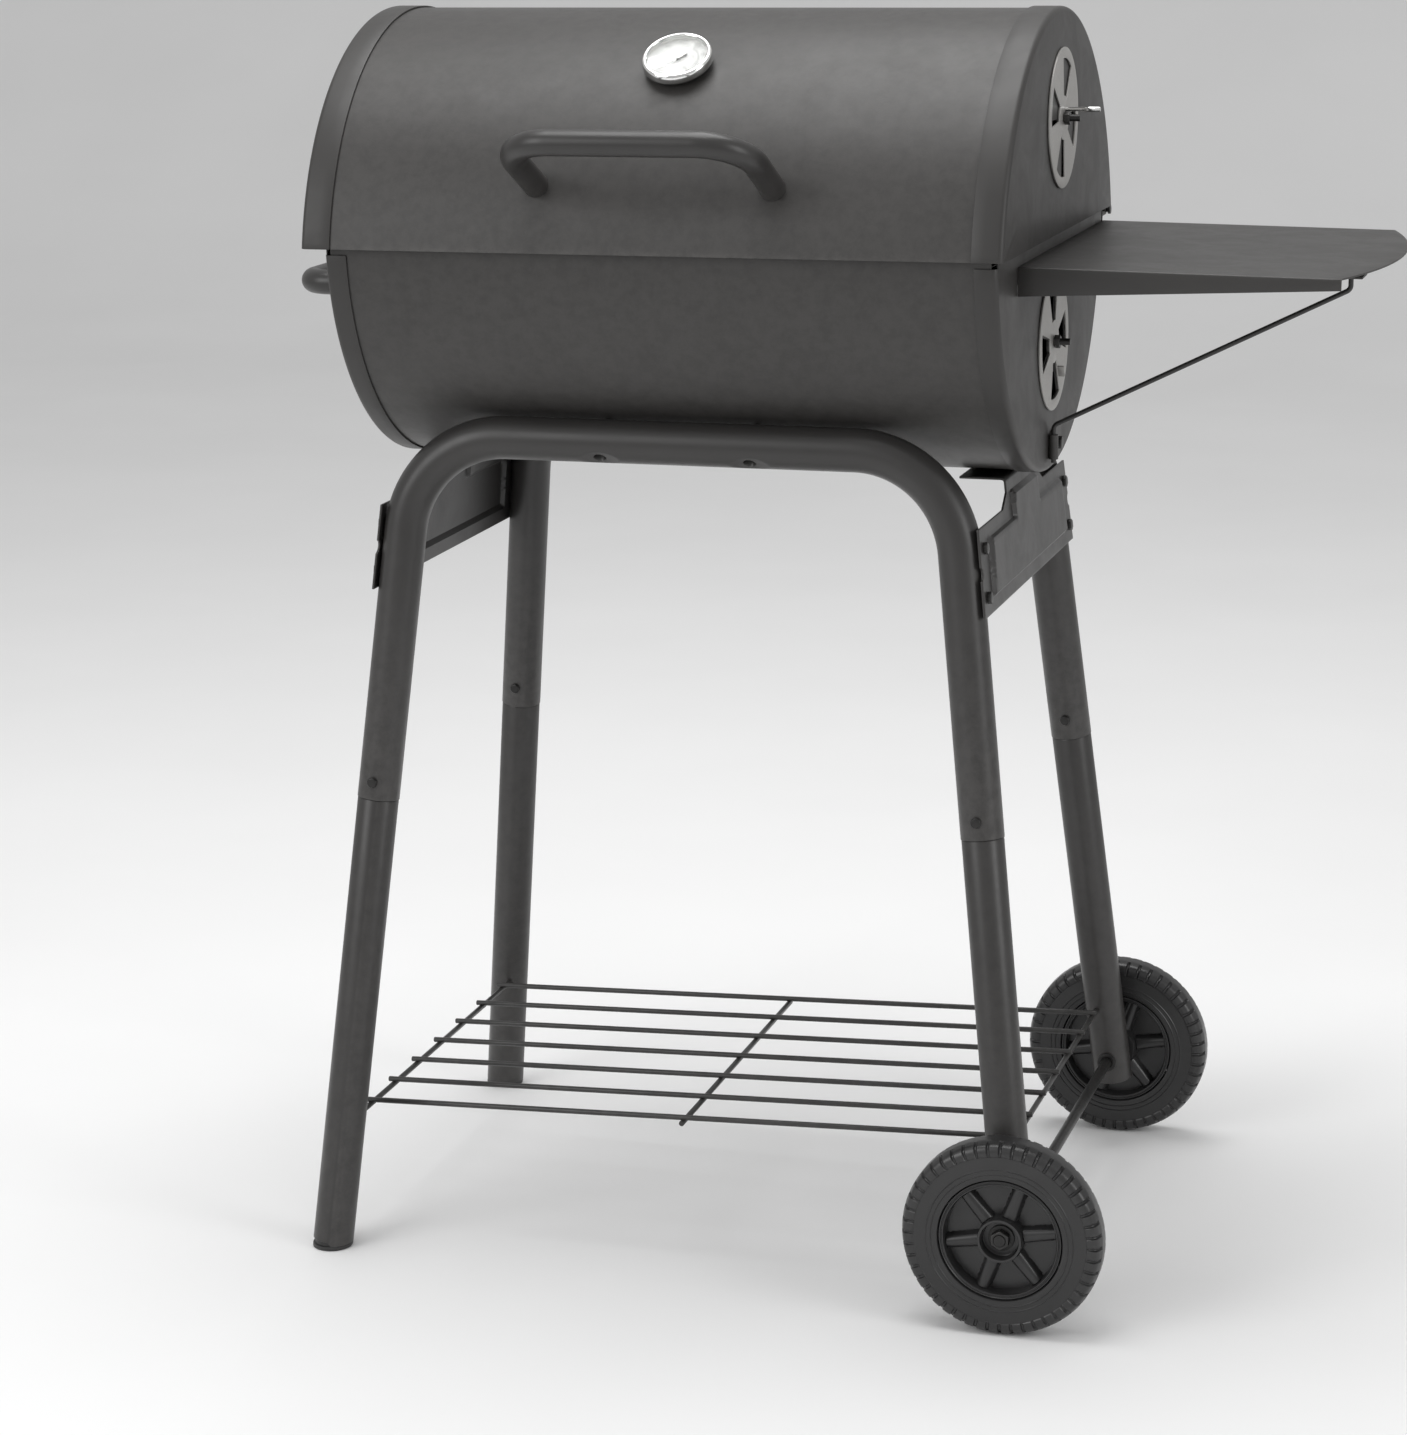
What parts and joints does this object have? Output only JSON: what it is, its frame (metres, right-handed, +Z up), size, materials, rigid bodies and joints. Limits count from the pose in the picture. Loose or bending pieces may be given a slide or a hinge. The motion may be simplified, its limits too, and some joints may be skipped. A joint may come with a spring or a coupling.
{
  "type": "barrel charcoal grill",
  "caption": "Barrel charcoal grill with hinged lid, side shelf and slide dampers on a tube stand with wheels and a wire rack.",
  "frame": {"origin": "on the floor under the middle of the whole grill's outside size", "axes": "+X along the barrel towards the side shelf, -Y towards the person at the front, +Z up"},
  "size_m": [0.97, 0.5854, 1.112],
  "materials": {
    "drum_coat": "fine textured matt black powder coat",
    "frame_coat": "smooth satin black powder coat",
    "damper_steel": "plain bright steel sheet",
    "chrome": "polished",
    "dial_white": "printed dial card",
    "pointer_black": "matt black",
    "lens_glass": "clear",
    "black_fastener": "black oxide screws",
    "zinc_fastener": "zinc plated",
    "wheel_plastic": "moulded black plastic",
    "foot_plastic": "moulded black plastic",
    "wire_coat": "satin black coated wire",
    "grate_steel": "plated steel wire"
  },
  "bodies": {
    "stand": {"axle": "black_fastener", "axle_nuts": "black_fastener", "axle_washers": "black_fastener", "bottom_rack": "wire_coat", "brace_bracket": "drum_coat", "brace_bracket_bolt": "black_fastener", "brace_rod": "wire_coat", "brace_tab": "drum_coat", "bracket_bolts": "black_fastener", "charcoal_grate": "grate_steel", "cooking_grate_left": "grate_steel", "cooking_grate_right": "grate_steel", "drum_bolts": "black_fastener", "firebox_cap_left": "drum_coat", "firebox_cap_right": "drum_coat", "firebox_shell": "drum_coat", "foot_plugs": "foot_plastic", "front_frame_tube": "frame_coat", "front_left_leg": "frame_coat", "front_right_leg": "frame_coat", "grate_ledges": "drum_coat", "hinge_lower_leaves": "drum_coat", "hinge_lower_screws": "black_fastener", "hinge_pins": "black_fastener", "leg_screws": "black_fastener", "lower_damper_bolt": "black_fastener", "lower_damper_nut": "black_fastener", "rear_frame_tube": "frame_coat", "rear_left_leg": "frame_coat", "rear_right_leg": "frame_coat", "shelf_bolts": "black_fastener", "side_bracket_left": "frame_coat", "side_bracket_right": "frame_coat", "side_handle": "frame_coat", "side_handle_screws": "zinc_fastener", "side_shelf": "drum_coat"},
    "lid": {"lid_shell": "drum_coat", "lid_cap_left": "drum_coat", "lid_cap_right": "drum_coat", "lid_handle": "frame_coat", "lid_handle_screws": "zinc_fastener", "thermometer_case": "zinc_fastener", "thermometer_bezel": "chrome", "thermometer_dial": "dial_white", "thermometer_lens": "lens_glass", "thermometer_stem": "zinc_fastener", "thermometer_nut": "zinc_fastener", "hinge_upper_leaves": "drum_coat", "hinge_upper_screws": "black_fastener", "upper_damper_bolt": "black_fastener", "upper_damper_nut": "black_fastener"},
    "pointer": {"thermometer_pointer": "pointer_black"},
    "upper_damper": {"upper_damper_disc": "damper_steel", "upper_damper_handle": "chrome"},
    "lower_damper": {"lower_damper_disc": "damper_steel"},
    "front_wheel": {"front_wheel_hub": "wheel_plastic", "front_wheel_tyre": "wheel_plastic"},
    "rear_wheel": {"rear_wheel_hub": "wheel_plastic", "rear_wheel_tyre": "wheel_plastic"}
  },
  "joints": [
    {"name": "lid_hinge", "type": "hinge", "parent": "stand", "child": "lid", "pos_m": [-0.111, 0.25671, 0.913], "axis": [-1, 0, 0], "range_deg": [0, 95]},
    {"name": "pointer_turn", "type": "hinge", "parent": "lid", "child": "pointer", "pos_m": [-0.111, -0.11908, 1.0695], "axis": [0, 0.5736, -0.8192], "range_deg": [-8, 260]},
    {"name": "upper_damper_turn", "type": "hinge", "parent": "lid", "child": "upper_damper", "pos_m": [0.194, 0.01571, 1.017], "axis": [1, 0, 0], "range_deg": [-13, 32]},
    {"name": "lower_damper_turn", "type": "hinge", "parent": "stand", "child": "lower_damper", "pos_m": [0.187, 0.01571, 0.8225], "axis": [1, 0, 0], "range_deg": [0, 45]},
    {"name": "front_wheel_spin", "type": "hinge", "parent": "stand", "child": "front_wheel", "pos_m": [0.20358, -0.24429, 0.088], "axis": [0, 1, 0], "continuous": true},
    {"name": "rear_wheel_spin", "type": "hinge", "parent": "stand", "child": "rear_wheel", "pos_m": [0.20358, 0.27571, 0.088], "axis": [0, 1, 0], "continuous": true}
  ]
}
